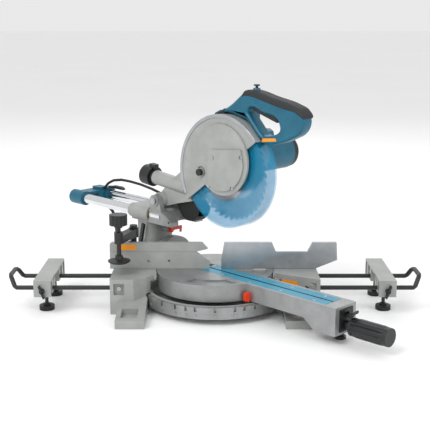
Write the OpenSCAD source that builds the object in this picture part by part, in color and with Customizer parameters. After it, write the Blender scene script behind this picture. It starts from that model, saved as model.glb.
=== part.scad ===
// Slide compound mitre saw with a work support on each side.
// Origin: on the bench, under the mitre axis. +X right, +Y towards the back, +Z up.
// The fence face lies on Y = 0. Pieces on the turntable are drawn with the arm pointing
// along -Y and then turned to the stored mitre angle. Side outlines use [s, z] pairs, where
// s is the distance forward of the mitre axis along the arm.

/* [Stored position] */
// Mitre angle at which the saw is stored, to the right
mitre_rest = 45; // [45:1:45]

/* [Base] */
// Height of the table top above the bench
table_h = 80; // [80:1:81]
// Half of the base's width
base_half = 232; // [228:1:236]
// Distance of the bench bolts from the middle, left and right
bench_bolt_x = 184; // [180:1:190]
// Distance of the bench bolts from the middle, front and back
bench_bolt_y = 150; // [146:1:154]
// Radius of the bench bolt holes
bench_bolt_r = 4.5; // [4:0.5:5]

/* [Turntable] */
// Radius of the turntable
disc_r = 133; // [130:1:133]
// Half of the arm's width
arm_half = 34; // [32:1:35]
// Distance from the mitre axis to the arm's front end
arm_len = 372; // [366:1:376]

/* [Fence] */
// Height of the fixed fence above the table
fence_h = 41; // [38:1:42]
// Height of the upper fence above the table
upper_h = 62; // [60:1:64]
// Thickness of the fences
fence_t = 10; // [9:0.5:11]

/* [Slide] */
// Height of the rails' axes above the table
rail_h = 109; // [109:1:109]
// Half of the distance between the rails
rail_half = 40; // [40:1:40]
// Radius of a rail
rail_r = 12; // [12:0.5:12]

/* [Blade] */
// Radius of the saw blade
blade_r = 108; // [104:1:108]
// Thickness of the blade
blade_t = 2.2; // [1.8:0.1:2.4]
// Number of teeth
blade_teeth = 40; // [24:4:60]
// Outer radius of the blade case
case_r = 129; // [128:1:130]
// Outer radius of the clear guard
guard_r = 122; // [120:1:122]

/* [Supports] */
// Radius of a support rod
support_rod_r = 5; // [4.5:0.25:5]
// Radius of the screw feet
foot_r = 17; // [15:1:18]

/* [Hidden] */
$fn = 64;
eps = 0.02;
run = 0.05;      // radial clearance of a running fit
gap = 0.5;       // clearance between neighbours
top = table_h;
rail_z = top + rail_h;
// Blade centre and head pivot, as [s, z]
blade_c = [48.5, 311];
pivot_c = [-150, 225];
pivot_r = 6;
spindle_r = 8;
// Belt drive
motor_c = [82, 347];
motor_r = 38;
driven_r = 24;
drive_r = 9;
belt_t = 2.5;
belt_x = [26, 36];
// Side supports
rod_z = 57;
rod_front = -70;
rod_rear = 22;
rod_inner = 206;
rod_bend = 440;
loop_x = 457;
bracket_x = [360, 398];
bracket_y = [-96, 91];
bracket_z = [43, 80];
support_feet_y = [-47, 61];
// Hold-down clamp
post_p = [-187, 24];
clamp_p = [-214, -45];
// Turntable and base levels
disc_z = 43;
pan_z = [14, 24];
ring_z = [14, 40];
rim_r = 156;
kerf_w = 2.4;
board_half = 26;
board_t = 5;
board_s = [-40, 340];
foot_x = 16;

// ---------- helpers ----------

// A block between two opposite corners
module block(lo, hi) {
    translate(lo) cube(hi - lo);
}

// A round bar along X, Y or Z, between two places on that axis
module bar_x(a, b, y, z, r) {
    translate([a, y, z]) rotate([0, 90, 0]) cylinder(h = b - a, r = r);
}
module bar_y(a, b, x, z, r) {
    translate([x, a, z]) rotate([-90, 0, 0]) cylinder(h = b - a, r = r);
}
module bar_z(a, b, x, y, r) {
    translate([x, y, a]) cylinder(h = b - a, r = r);
}

// Turns what is drawn with the arm forward to the stored mitre angle
module on_table() {
    rotate([0, 0, mitre_rest]) children();
}

// A plate with an [s, z] outline, from x = a to x = b
module side_plate(a, b, outline) {
    translate([a, 0, 0]) rotate([90, 0, 90])
        linear_extrude(b - a) polygon([for (p = outline) [-p[0], p[1]]]);
}

// A bar across the arm, along x, at an [s, z] place
module cross_bar(a, b, p, r) {
    bar_x(a, b, -p[0], p[1], r);
}

// Points of an arc around c, in degrees above forward
function arc(c, r, a, b, n) = [for (i = [0:n]) c + r * [cos(a + (b - a) * i / n), sin(a + (b - a) * i / n)]];

// A tube along a route, as one polyhedron
function unit(v) = v / norm(v);
function heading(p, i) = unit(p[min(i + 1, len(p) - 1)] - p[max(i - 1, 0)]);
function side_of(d) = abs(d[2]) < 0.99 ? unit(cross(d, [0, 0, 1])) : [1, 0, 0];
// Side vector carried along the route, so that the tube does not twist
function carry(p, i, s) = let(d = heading(p, i)) unit(s - (s * d) * d);
function sides(p, i = 0, s = undef) =
    let(now = i == 0 ? side_of(heading(p, 0)) : carry(p, i, s))
    i == len(p) - 1 ? [now] : concat([now], sides(p, i + 1, now));
module tube(p, r, n = 8) {
    s = sides(p);
    points = [for (i = [0:len(p) - 1]) let(d = heading(p, i), u = s[i], v = cross(d, u))
        for (k = [0:n - 1]) p[i] + r * (cos(360 * k / n) * u + sin(360 * k / n) * v)];
    walls = [for (i = [0:len(p) - 2]) for (k = [0:n - 1]) let(m = (k + 1) % n)
        [i * n + k, (i + 1) * n + k, (i + 1) * n + m, i * n + m]];
    first = [for (k = [0:n - 1]) k];
    last = [for (k = [n - 1:-1:0]) (len(p) - 1) * n + k];
    polyhedron(points, concat([first], walls, [last]), convexity = 6);
}

// Outline round two circles and the straight runs between them
function wrap(c1, r1, c2, r2) =
    let(d = c2 - c1, way = atan2(d[1], d[0]), lean = acos((r1 - r2) / norm(d)))
    concat(arc(c1, r1, way + lean, way + 360 - lean, 40), arc(c2, r2, way - lean, way + lean, 40));

// Sector of a disc about the mitre axis, between two directions
module sector(r, a, b, z0, z1) {
    translate([0, 0, z0]) linear_extrude(z1 - z0) polygon(concat([[0, 0]], arc([0, 0], r, a, b, 36)));
}

// Turns an outline drawn as [forward, up] into a piece across the arm at an [s, z] place
module across(a, b, c) {
    translate([a, -c[0], c[1]]) rotate([90, 0, 90]) mirror([1, 0]) linear_extrude(b - a) children();
}

// ---------- base ----------

// One side block with its legs, drawn on the right; front is the plan of its front edge
module side_block(front) {
    difference() {
        union() {
            translate([0, 0, 8]) linear_extrude(top - 8)
                polygon(concat([[base_half, 75], [132, 75], [132, front[0][1]]], front));
            block([148, -85, 0], [base_half, 0, 8 + eps]);
            block([148, 0, 0], [base_half, 75, 8 + eps]);
            // front leg and its foot
            translate([150, 0, 0]) rotate([90, 0, 90]) linear_extrude(62)
                polygon([[-60, 0], [-60, 38], [-88, 31], [-140, 22], [-182, 18], [-182, 0]]);
            // rear leg
            translate([160, 0, 0]) rotate([90, 0, 90]) linear_extrude(50)
                polygon([[60, 0], [60, 60], [75, 60], [90, 24], [166, 18], [166, 0]]);
        }
        // pocket and hole of the front foot
        translate([166, -166, 12]) cube([36, 44, 30]);
        bar_z(-1, 60, bench_bolt_x, -bench_bolt_y, bench_bolt_r);
        // rear foot
        translate([170, 124, 12]) cube([30, 36, 30]);
        bar_z(-1, 60, bench_bolt_x, bench_bolt_y, bench_bolt_r);
        // underside pockets, with a rib between them
        block([156, -52, -1], [base_half - 8, 6, 44]);
        block([156, 12, -1], [base_half - 8, 67, 44]);
        // rod sockets
        for (y = [rod_front, rod_rear]) bar_x(rod_inner - 6, base_half + 10, y, rod_z, support_rod_r + run);
        // recess on the front face for the rod clamp screw
        block([base_half - 32, -100, 44], [base_half - 8, rod_front - 6, 70]);
        bar_y(rod_front - 7, rod_front, base_half - 20, rod_z, 3.05);
    }
}

module base_casting() {
    front_right = [[137, -35], [191, -66], [base_half, -87]];
    front_left = [[137, -46], [152, -66], [180, -88], [base_half, -84]];
    color("#BEBEB9") difference() {
        union() {
            side_block(front_right);
            mirror([1, 0, 0]) side_block(front_left);
            // pan under the turntable
            bar_z(pan_z[0], pan_z[1], 0, 0, rim_r);
            difference() {
                bar_z(pan_z[0], ring_z[1], 0, 0, rim_r);
                bar_z(0, 60, 0, 0, rim_r - 8);
            }
            bar_z(pan_z[0], 42.5, 0, 0, 26);
            // lug for the clamp post
            bar_z(top - 20, top, post_p[0], post_p[1], 13);
        }
        // room for the turntable and for the pointer
        bar_z(42.5, top + 1, 0, 0, disc_r + 1.5);
        bar_z(42.5, 68, 0, 0, 155);
        // room for the ear and the bevel arm as they swing round behind the fence
        sector(164, 14, 176, 42.5, top + 1);
        sector(260, 22, 168, 38, top + 1);
        difference() {
            bar_z(pan_z[1], 43, 0, 0, rim_r - 8);
            bar_z(0, 60, 0, 0, 26);
        }
        // room for the scale ring
        difference() {
            bar_z(-1, ring_z[1] + 2, 0, 0, rim_r + 11);
            bar_z(0, 60, 0, 0, rim_r);
            block([-200, 0, 0], [200, 200, 60]);
        }
        block([-160, 96, -1], [160, 200, 60]);
        bar_z(0, 60, 0, 0, spindle_r + run);
        bar_z(top - 60, top + 1, post_p[0], post_p[1], 7);
    }
}

module scale_ring() {
    angles = [-60, -45, -31.6, -22.5, -15, 0, 15, 22.5, 31.6, 45, 60];
    color("#A8A8A4") difference() {
        union() {
            difference() {
                bar_z(ring_z[0], ring_z[1], 0, 0, rim_r + 8);
                bar_z(0, 60, 0, 0, rim_r + 0.1);
            }
            for (a = angles) rotate([0, 0, a]) bar_y(-rim_r - 10, -rim_r - 2, 0, 22, 3);
        }
        rotate([0, 0, 66]) translate([0, -200, 0]) cube([400, 600, 100]);
        rotate([0, 0, -66]) translate([-400, -200, 0]) cube([400, 600, 100]);
        block([-200, -50, 0], [200, 200, 100]);
        for (a = angles) rotate([0, 0, a]) block([-3, -rim_r - 12, 30], [3, -rim_r - 3, 60]);
    }
}

module fence_left() {
    z0 = top + gap;
    color("#B9B9B5") difference() {
        union() {
            translate([0, 0, z0]) linear_extrude(top + fence_h - z0)
                polygon([[-240, 0], [-12, 0], [-34, fence_t + 2], [-240, fence_t + 2]]);
            translate([0, 0, z0]) linear_extrude(9)
                polygon([[-228, 5], [-170, 5], [-170, 38], [-228, 38]]);
            block([-228, 0, z0], [-225, 34, z0 + 34]);
            block([-173, 0, z0], [-170, 34, z0 + 34]);
        }
        for (x = [-152, -105]) bar_y(-1, 40, x, top + 19, 3);
        // slope towards the blade
        translate([0, -1, z0]) rotate([-90, 0, 0]) linear_extrude(20)
            polygon([[-12, -fence_h - 2], [-50, -fence_h - 2], [-12, -18]]);
        bar_z(z0 - 1, top + 30, post_p[0], post_p[1], 11);
        bar_z(z0 - 1, top + 20, -212, 26, 3.1);
        // groove that guides the upper fence
        block([-241, 3.5, top + fence_h - 6], [-60, 7.5, top + fence_h + 1]);
    }
}

module upper_fence() {
    z0 = top + fence_h + 0.3;
    color("#B9B9B5") {
        translate([0, fence_t, 0]) rotate([90, 0, 0]) linear_extrude(fence_t)
            polygon([[-240, z0], [-40, z0], [-16, z0 + 6], [-29, top + upper_h], [-236, top + upper_h],
                [-240, top + upper_h - 4]]);
        block([-236, 3.8, z0 - 5], [-70, 7.2, z0 + eps]);
    }
}

module fence_right() {
    z0 = top + gap;
    high = top + upper_h;
    notch = top + fence_h - 1;
    color("#C9CBCD") difference() {
        union() {
            translate([0, fence_t, 0]) rotate([90, 0, 0]) linear_extrude(fence_t)
                polygon([[14, z0], [229, z0], [279, top + 21], [277, high], [222, high], [211, notch],
                    [139, notch], [130, high], [21, high], [14, top + 21]]);
            translate([0, 0, z0]) linear_extrude(9)
                polygon([[142, 5], [226, 5], [226, 38], [142, 38]]);
            block([147, 0, z0], [150, 34, z0 + 30]);
            block([222, 0, z0], [225, 34, z0 + 30]);
        }
        // mitre swing clearance at the blade end
        translate([0, 0, z0 - 1]) linear_extrude(80) polygon([[10, 3], [14, 3], [28, 13], [10, 13]]);
        for (x = [106, 173]) bar_y(-1, 40, x, top + 18, 2.6);
        for (x = [160, 212]) bar_z(z0 - 1, top + 20, x, 26, 3.1);
    }
}

module base_bolts() {
    color("#C8C8CC") {
        // fence foot screws
        for (x = [-212, 160, 212]) {
            bar_z(top + gap + 9, top + gap + 14, x, 26, 5.5);
            bar_z(top + gap - eps, top + gap + 9.5, x, 26, 3);
        }
        // facing screws of the right fence
        for (x = [106, 173]) {
            bar_y(-2, 0, x, top + 18, 4.5);
            bar_y(-0.5, fence_t, x, top + 18, 2.5);
        }
        // rod clamp screws
        for (x = [20 - base_half, base_half - 20]) {
            bar_y(rod_front - 7.5, rod_front - support_rod_r - 0.1, x, rod_z, 3);
            bar_y(rod_front - 9.5, rod_front - 7.4, x, rod_z, 5);
        }
    }
}

module turntable_bolt() {
    color("#8A8C90") {
        bar_z(4, 57, 0, 0, spindle_r);
        bar_z(4, pan_z[0] - 0.2, 0, 0, 14);
    }
}

module clamp_post() {
    color("#1B1B1D") {
        bar_z(top - 58, 170, post_p[0], post_p[1], 6.95);
        bar_z(172, 178, post_p[0], post_p[1], 9);
        bar_z(169, 173, post_p[0], post_p[1], 6.95);
    }
}

// Channel arm of the clamp, with a boss at each end
module clamp_arm() {
    v = clamp_p - post_p;
    color("#242426") difference() {
        union() {
            bar_z(150, 171, post_p[0], post_p[1], 11.5);
            bar_z(152, 178, clamp_p[0], clamp_p[1], 10);
            translate([post_p[0], post_p[1], 152]) rotate([0, 0, atan2(v[1], v[0])])
                difference() {
                    translate([0, -10, 0]) cube([norm(v), 20, 18]);
                    translate([8, -7.5, -1]) cube([norm(v) - 16, 15, 16]);
                }
        }
        bar_z(140, 190, post_p[0], post_p[1], 7);
        bar_z(140, 190, clamp_p[0], clamp_p[1], 5.05);
    }
}

module clamp_screw() {
    color("#1B1B1D") {
        bar_z(118, 196, clamp_p[0], clamp_p[1], 5);
        bar_z(188, 195, clamp_p[0], clamp_p[1], 9);
        difference() {
            bar_z(194, 218, clamp_p[0], clamp_p[1], 20);
            for (i = [0:11]) rotate_about(clamp_p, i * 30) bar_z(193, 219, clamp_p[0] + 21.5, clamp_p[1], 3);
        }
    }
}

// Turns children about a vertical line through p
module rotate_about(p, a) {
    translate([p[0], p[1], 0]) rotate([0, 0, a]) translate([-p[0], -p[1], 0]) children();
}

module clamp_plate() {
    color("#1B1B1D") translate([clamp_p[0], clamp_p[1], 108]) rotate_extrude()
        polygon([[0, 0], [21, 0], [25, 3], [25, 5], [10, 9], [8, 17], [5.2, 17], [5.2, 9.8], [0, 9.8]]);
}

// ---------- side supports, drawn on the right ----------

module support_rod() {
    r = support_rod_r;
    rise = 23;
    path = [[rod_inner, rod_front, rod_z], [rod_bend - 6, rod_front, rod_z], [rod_bend, rod_front, rod_z],
        [rod_bend + 5, rod_front + 2, rod_z + 3], [loop_x - 5, rod_front + 10, rod_z + rise - 6],
        [loop_x - 2, rod_front + 16, rod_z + rise - 2], [loop_x, rod_front + 24, rod_z + rise],
        [loop_x, rod_rear - 24, rod_z + rise],
        [loop_x - 2, rod_rear - 16, rod_z + rise - 2], [loop_x - 5, rod_rear - 10, rod_z + rise - 6],
        [rod_bend + 5, rod_rear - 2, rod_z + 3],
        [rod_bend, rod_rear, rod_z], [rod_bend - 6, rod_rear, rod_z], [rod_inner, rod_rear, rod_z]];
    // straight legs are true bars, and the bent end is swept
    for (y = [rod_front, rod_rear]) bar_x(rod_inner, rod_bend - 3, y, rod_z, r);
    tube([for (i = [1:len(path) - 2]) path[i]], r * 1.02, 12);
}

module support_bracket() {
    x0 = bracket_x[0];
    x1 = bracket_x[1];
    difference() {
        block([x0, bracket_y[0], bracket_z[0]], [x1, bracket_y[1], bracket_z[1]]);
        // the channel is open below and towards the saw
        block([x0 - 1, bracket_y[0] + 4, bracket_z[0] - 1], [x1 - 4, bracket_y[1] - 4, bracket_z[1] - 4]);
    }
    for (y = [rod_front, rod_rear, support_feet_y[0], support_feet_y[1]]) difference() {
        block([x0, y - 9, bracket_z[0] + 4], [x1 - 3, y + 9, bracket_z[1] - 3]);
        if (y == rod_front || y == rod_rear)
            bar_x(x0 - 1, x1 + 1, y, rod_z, support_rod_r + run);
        else
            bar_z(bracket_z[0], bracket_z[1] - 6, (x0 + x1) / 2, y, 4.05);
    }
}

module bracket_with_holes() {
    difference() {
        support_bracket();
        for (y = [rod_front, rod_rear])
            bar_x(bracket_x[0] - 1, bracket_x[1] + 1, y, rod_z, support_rod_r + run);
        bar_y(bracket_y[0] - 1, rod_front - support_rod_r - 1, 379, rod_z, 3.05);
    }
}

module wing_screw() {
    bar_y(bracket_y[0] - 6, rod_front - support_rod_r - 2, 379, rod_z, 3);
    bar_y(bracket_y[0] - 8, bracket_y[0] - 0.5, 379, rod_z, 6);
    for (s = [-1, 1]) translate([379, bracket_y[0] - 8, rod_z]) rotate([0, 90 + 20, 0])
        translate([s > 0 ? 3 : -15, -6, -2]) cube([12, 10, 4]);
}

module screw_feet() {
    for (y = support_feet_y) {
        x = (bracket_x[0] + bracket_x[1]) / 2;
        bar_z(7, bracket_z[1] - 8, x, y, 4);
        difference() {
            bar_z(0, 10, x, y, foot_r);
            for (i = [0:23]) translate([x, y, 0]) rotate([0, 0, i * 15])
                bar_z(2.5, 11, foot_r + 0.6, 0, 1.5);
        }
        bar_z(9.9, 14, x, y, 8);
    }
}

module support_rod_left() { color("#1A1A1C") mirror([1, 0, 0]) support_rod(); }
module support_rod_right() { color("#1A1A1C") support_rod(); }
module support_bracket_left() { color("#B4B4B0") mirror([1, 0, 0]) bracket_with_holes(); }
module support_bracket_right() { color("#B4B4B0") bracket_with_holes(); }
module wing_screw_left() { color("#161618") mirror([1, 0, 0]) wing_screw(); }
module wing_screw_right() { color("#161618") wing_screw(); }
module screw_feet_left() { color("#161618") mirror([1, 0, 0]) screw_feet(); }
module screw_feet_right() { color("#161618") screw_feet(); }

// ---------- turntable and arm ----------

module turntable() {
    side = [[100, top], [100, 43], [290, 43], [318, 21], [arm_len, 21], [arm_len, top]];
    inside = [[130, top - 11], [130, 30], [292, 30], [316, 10], [arm_len - 6, 10], [arm_len - 6, top - 11]];
    color("#B7B8B5") on_table() difference() {
        union() {
            bar_z(disc_z, top, 0, 0, disc_r);
            side_plate(-arm_half, arm_half, side);
            // ear that carries the bevel arm
            bar_y(132, 150, 0, top, 54);
            block([-46, 80, disc_z + 0.5], [46, 150, top - 8]);
        }
        block([-80, 131, -10], [80, 160, disc_z + 0.5]);
        // hollow arm, open below
        side_plate(5 - arm_half, arm_half - 5, inside);
        // underside of the disc
        difference() {
            bar_z(disc_z - 1, top - 12, 0, 0, disc_r - 7);
            bar_z(disc_z - 2, top, 0, 0, 20);
            block([-4, -140, 0], [4, 140, top]);
            block([-140, -4, 0], [140, 4, top]);
            block([-20, 90, 0], [20, 140, top]);
        }
        bar_z(0, 57.5, 0, 0, spindle_r + run);
        // channel for the kerf boards, and the kerf slot under them
        block([-board_half - 0.4, -board_s[1] - 1, top - board_t - 0.1],
            [board_half + 0.4, -board_s[0] + 1, top + 60]);
        block([-7, -board_s[1] + 6, top - 24], [13, -board_s[0] - 8, top]);
        // shallow curved recesses left and right of the arm
        for (s = [-1, 1]) difference() {
            bar_z(top - 4, top + 1, 0, 0, disc_r - 13);
            bar_z(0, top + 2, 0, 0, 88);
            block([-200, -24, 0], [200, 200, 200]);
            block([-arm_half - 10, -200, 0], [arm_half + 10, 200, 200]);
        }
        // bevel bolt, grip shaft and foot screw
        bar_y(130, 160, 0, top, spindle_r + run);
        bar_y(130, 141, 0, top, 13.3);
        bar_y(-arm_len - 1, -arm_len + 10, 0, 39, 8.05);
        block([-21, -arm_len - 1, 27], [21, -arm_len + 5, 74]);
        block([-8, -arm_len - 1, 55], [8, -arm_len + 10, 68]);
    }
    // boss for the front foot
    color("#B7B8B5") on_table() difference() {
        union() {
            bar_z(24, 50, foot_x, -348, 9);
            block([-arm_half + 4, -351, 30], [arm_half - 4, -345, 48]);
        }
        bar_z(10, 60, foot_x, -348, 4.05);
        bar_y(-360, -340, 0, 39, 6.4);
    }
}

module kerf_boards() {
    z0 = top - board_t;
    len_y = board_s[1] - board_s[0];
    color("#2DA0B9") on_table() translate([0, -board_s[0], 0]) rotate([90, 0, 0]) linear_extrude(len_y) {
        polygon([[-board_half, z0], [-kerf_w - 2, z0], [-kerf_w, top], [-board_half, top]]);
        polygon([[kerf_w + 4.5, z0], [board_half, z0], [board_half, top], [kerf_w, top]]);
    }
}

module mitre_pointer() {
    color("#E8421C") on_table() {
        block([-arm_half - 13, -143, 45], [-arm_half, -133.5, 63]);
        block([-arm_half - 10, -146, 44], [-arm_half - 7, -142, 59]);
    }
}

module arm_end_plate() {
    color("#161618") on_table() difference() {
        block([-20.8, -arm_len - 3, 27.2], [20.8, -arm_len + 4.8, 73.8]);
        bar_y(-arm_len - 4, -arm_len + 6, 0, 39, 8.05);
        block([-7.5, -arm_len - 4, 56], [7.5, -arm_len + 6, 67]);
    }
}

module mitre_grip() {
    color("#161618") on_table() {
        bar_y(-392, -172, 0, 39, 6);
        difference() {
            bar_y(-480, -390, 0, 39, 19);
            for (i = [0:11]) translate([0, 0, 39]) rotate([0, i * 30, 0])
                bar_y(-470, -396, 0, 20.5, 3.2);
        }
        bar_y(-392, -384, 0, 39, 13);
        bar_y(-386, -376, 0, 39, 9.5);
    }
}

module detent_lever() {
    color("#161618") on_table() {
        block([-7, -arm_len - 16, 58], [7, -arm_len + 12, 63]);
        side_plate(-10, 10, [[arm_len + 12, 58], [arm_len + 24, 66], [arm_len + 25, 72], [arm_len + 22, 72],
            [arm_len + 12, 63.5]]);
        bar_x(-10, 10, -arm_len + 10, 60.5, 3);
    }
}

module front_foot() {
    color("#161618") on_table() {
        bar_z(0, 6, foot_x, -348, 12);
        bar_z(5, 16, foot_x, -348, 8);
        bar_z(15, 62, foot_x, -348, 4);
    }
}

// ---------- bevel arm ----------

module bevel_column() {
    b0 = 172;
    b1 = 240;
    color("#B9BAB6") on_table() difference() {
        union() {
            // slide block with two round cheeks
            block([-44, b0, rail_z - 21], [44, b1, rail_z + 16]);
            for (x = [-rail_half, rail_half]) bar_y(b0, b1, x, rail_z, 17);
            // column and its hub on the bevel axis
            bar_z(58, rail_z - 14, -18, 194, 20);
            bar_z(58, rail_z - 14, 18, 194, 20);
            block([-18, 174, 58], [18, 214, rail_z - 14]);
            block([-34, 196, 80], [34, 230, rail_z - 14]);
            bar_y(152, 180, 0, 148, 8);
            bar_y(150.4, 232, 0, top, 40);
        }
        for (x = [-rail_half, rail_half]) bar_y(b0 - 1, b1 + 1, x, rail_z, rail_r + 3);
        bar_y(140, 240, 0, top, spindle_r + run);
        bar_y(222, 240, 0, top, 16);
        bar_y(140, 187, 0, 148, 3.05);
    }
}

module slide_bushings() {
    color("#C9A24A") on_table() for (x = [-rail_half, rail_half]) for (y = [173, 225]) difference() {
        bar_y(y, y + 14, x, rail_z, rail_r + 3);
        bar_y(y - 1, y + 15, x, rail_z, rail_r + run);
    }
}

// Bevel lock bolt with its lever behind the column
module bevel_lock_lever() {
    color("#161618") on_table() {
        bar_y(134.5, 236, 0, top, spindle_r);
        bar_y(134.5, 140.5, 0, top, 13);
        bar_y(233, 247, 0, top, 14);
        // crank out to the left, and the lever forward and up beside the column
        translate([0, 246, 0]) rotate([90, 0, 0]) linear_extrude(5)
            polygon([[0, 92], [-44, 112], [-55, 110], [-55, 98], [-4, 70]]);
        bar_y(204, 244, -49, 105, 4.5);
        translate([-49, 206, 104]) rotate([14, 0, 0]) translate([-3.1, -4, -2]) cube([6.2, 8.3, 62]);
    }
}

module bevel_stop_lever() {
    color("#E8421C") on_table() {
        bar_y(149, 186, 0, 148, 3);
        bar_y(146, 150, 0, 148, 8);
        block([0, 146.5, 145], [34, 149.5, 153]);
        block([28, 146.8, 137], [33.5, 149.2, 150]);
        bar_y(143, 147, 0, 148, 5);
    }
}

// ---------- carriage ----------

module slide_rails() {
    color("#D9DADC") on_table() for (x = [-rail_half, rail_half]) bar_y(132, 452, x, rail_z, rail_r);
}

module rear_holder() {
    color("#0A738C") on_table() difference() {
        union() {
            for (x = [-rail_half, rail_half]) bar_y(426, 474, x, rail_z, 18);
            block([-rail_half, 430, rail_z - 16], [rail_half, 470, rail_z + 14]);
            block([10, 432, rail_z + 13], [34, 464, rail_z + 21]);
        }
        for (x = [-rail_half, rail_half]) bar_y(420, 452, x, rail_z, rail_r);
        block([-18, 420, rail_z - 10], [4, 480, rail_z + 8]);
    }
}

module front_bracket() {
    lip = [[-170, 170], [-170, 203], [-132, 203], [-104, 190], [-92, 180], [-92, 170]];
    ear = [[-166, 200], [-164, 228], [-136, 228], [-126, 200]];
    color("#C2C3C0") on_table() difference() {
        union() {
            side_plate(-51, 51, [[-170, 170], [-170, 203], [-132, 203], [-132, 170]]);
            block([27, 158, 200], [39, 170.5, 215]);
            for (s = [-1, 1]) {
                side_plate(s > 0 ? 28 : -51, s > 0 ? 51 : -28, lip);
                side_plate(s > 0 ? 38 : -50, s > 0 ? 50 : -38, ear);
                cross_bar(s > 0 ? 38 : -52, s > 0 ? 52 : -38, pivot_c, 14);
            }
        }
        for (x = [-rail_half, rail_half]) bar_y(131, 180, x, rail_z, rail_r);
        cross_bar(-60, 60, pivot_c, pivot_r);
        cross_bar(-30, 30, pivot_c, 26);
        block([-27, 90, 196], [27, 180, 240]);
        for (s = [-1, 1]) bar_x(s > 0 ? 45 : -52, s > 0 ? 52 : -45, 100, 180, 3);
    }
}

module head_pivot_pin() {
    color("#8A8C90") on_table() {
        cross_bar(-54, 52, pivot_c, pivot_r);
        cross_bar(-56, -52, pivot_c, 8);
    }
}

// Routes drawn by hand
lead_route = [[33, 166, 209.5], [33, 184, 212.5], [32, 210, 219], [30, 250, 228], [28, 290, 234], [26, 330, 237],
    [25, 362, 237], [24, 392, 232], [24, 414, 222], [24, 432, 206]];
cord_r = 4;
cord_route = [[-276, 328, 153], [-270, 332.5, 143], [-266, 337.5, 132], [-263.5, 342, 119], [-262.4, 345, 104],
    [-262, 346, 88], [-262, 346, 64], [-262, 346, 42.2], [-260.3, 346.8, 30.5], [-255.5, 349.2, 19.9],
    [-247.9, 352.8, 11.5], [-238.3, 357.5, 6.1], [-227.8, 362.6, 4.2], [-210, 372.8, 4.2]];
coil_c = [-180, 330];
coil_in = 32;
coil_out = 56;
coil_h = 24;

module lead() {
    color("#1A1A1C") on_table() tube(lead_route, 3.5, 8);
}

module strain_relief() {
    a = [-293, 321, 178];
    b = cord_route[0];
    d = b - a;
    color("#161618") translate(a) rotate([0, acos(d[2] / norm(d)), atan2(d[1], d[0])])
        cylinder(h = norm(d), r1 = 8, r2 = 5);
}

module power_cord() {
    color("#1A1A1C") tube(cord_route, cord_r, 10);
}

module cord_coil() {
    color("#1A1A1C") translate([coil_c[0], coil_c[1], 0]) rotate_extrude()
        translate([coil_in, 0]) square([coil_out - coil_in, coil_h]);
}

module plug() {
    color("#161618") translate([coil_c[0], coil_c[1] + coil_in + 4, coil_h + 11.3]) rotate([0, 90, 0]) {
        hull() {
            cylinder(h = 6, r = 7, $fn = 32);
            translate([0, 0, 16]) cylinder(h = 28, r = 11, $fn = 32);
        }
        for (y = [-9.5, 9.5]) translate([0, y * 0.75, 43]) cylinder(h = 19, r = 2.4);
    }
}

// ---------- head ----------

// Region that the blade case covers: above a line through the blade centre
case_tilt = 36;
module below_case() {
    translate([0, -blade_c[0], blade_c[1]]) rotate([-case_tilt, 0, 0]) children();
}

module head_casting() {
    arm = [[-166, 232], [-154, 242], [-128, 268], [-84, 300], [-60, 330], [-30, 250], [-44, 236], [-100, 222],
        [-140, 210], [-160, 212]];
    color("#BDBEBA") on_table() difference() {
        union() {
            difference() {
                cross_bar(-30, 20, blade_c, case_r);
                below_case() block([-60, -160, -160], [60, 160, 5]);
            }
            // arm to the pivot, and its hub
            side_plate(-24, 24, arm);
            cross_bar(-36, 24, pivot_c, 17);
            // dust duct beside the arm
            translate([-14, 182, 272]) rotate([90 + 6, 0, 0]) cylinder(h = 112, r = 17);
            // belt case and motor flange
            side_plate(19, 42, wrap(blade_c, 33, motor_c, 30));
            cross_bar(19, 48, motor_c, motor_r);
            // boss of the shaft lock
            cross_bar(-33, -28, [-10, 308], 9);
            // carrier of the centre cover
            cross_bar(-30, -26.5, [52, 342], 76);
            // rear stiffening rib and web
            side_plate(20 - eps, 34, [[-60, 250], [-60, 320], [20, 350], [20, 290], [-20, 250]]);
        }
        // room for the blade and its guard
        cross_bar(-26.4, 16, blade_c, case_r - 4);
        // pocket for the belt
        side_plate(22, 39, wrap(blade_c, 30, motor_c, 16));
        // spindle, armature and pivot bores
        cross_bar(10, 60, blade_c, spindle_r + run);
        cross_bar(38, 60, motor_c, 11);
        cross_bar(-40, 40, pivot_c, pivot_r + run);
        cross_bar(-40, -20, [-10, 308], 3.05);
        translate([-14, 186, 272.5]) rotate([96, 0, 0]) cylinder(h = 40, r = 12);
    }
    // boss that carries the lower guard
    color("#BDBEBA") on_table() difference() {
        cross_bar(11, 16.5, blade_c, 20);
        cross_bar(10, 60, blade_c, spindle_r + run);
    }
}

module centre_cover() {
    c = [52, 342];
    color("#C4C5C1") on_table() {
        difference() {
            union() {
                cross_bar(-34, -30.2, c, 78);
                // raised panel
                intersection() {
                    cross_bar(-38, -33.5, c, 68);
                    side_plate(-40, -33, [[14, 270], [14, 352], [22, 362], [112, 370], [130, 300], [90, 260]]);
                }
            }
            for (p = [[113, 354], [14, 280], [87, 284]]) {
                cross_bar(-36, -29, p, 2.1);
                cross_bar(-40, -34, p, 4.3);
            }
            cross_bar(-40, -29, [30, 345], 2.1);
            cross_bar(-36, -28, [-10, 308], 13);
        }
    }
}

module cover_screws() {
    color("#D8D9DB") on_table() {
        for (p = [[113, 354], [14, 280], [87, 284]]) {
            cross_bar(-36, -34, p, 4);
            cross_bar(-34.5, -30.5, p, 2);
        }
        cross_bar(-40, -38, [30, 345], 4);
        cross_bar(-38.5, -30.5, [30, 345], 2);
    }
}

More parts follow.
